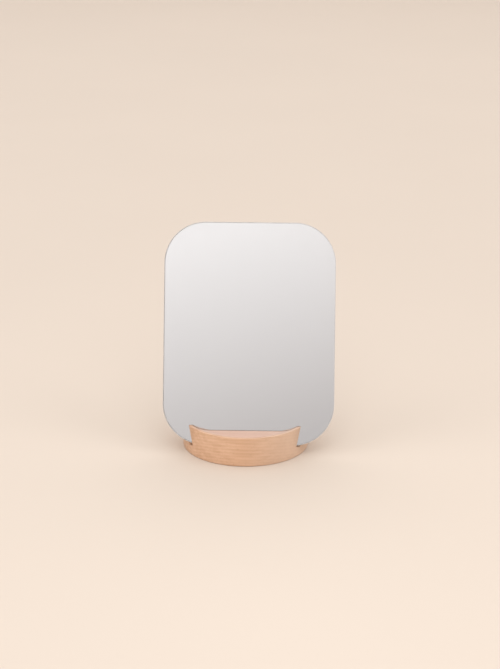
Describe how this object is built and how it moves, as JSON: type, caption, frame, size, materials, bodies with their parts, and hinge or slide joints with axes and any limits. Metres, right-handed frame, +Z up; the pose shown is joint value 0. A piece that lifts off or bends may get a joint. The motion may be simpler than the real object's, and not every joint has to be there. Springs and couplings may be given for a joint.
{
  "type": "stand mirror",
  "caption": "Frameless rounded rectangular mirror pane that lifts out of a slanted slot in a round dished wooden stand.",
  "frame": {"origin": "middle of the round stand's underside, on the surface it stands on", "axes": "+Z up; the mirror faces -Y and leans back towards +Y; X runs across the pane, along the slot"},
  "size_m": [0.154, 0.114, 0.1995],
  "materials": {
    "beech": "pale turned beech, sanded and sealed with a thin matt oil",
    "felt": "tan pressed wool felt",
    "glass": "clear float glass with a satin-ground pale edge",
    "silver": "mirror silver",
    "film": "light grey protective paint, fine matt texture"
  },
  "bodies": {
    "stand": {"base_block": "beech", "base_felt": "felt", "slot_cushion": "felt"},
    "pane": {"mirror_glass": "glass", "silver_coating": "silver", "backing_film": "film"}
  },
  "joints": [
    {"name": "pane_lift", "type": "slide", "parent": "stand", "child": "pane", "axis": [0, 0.3256, 0.9455], "range_m": [0, 0.06]}
  ]
}
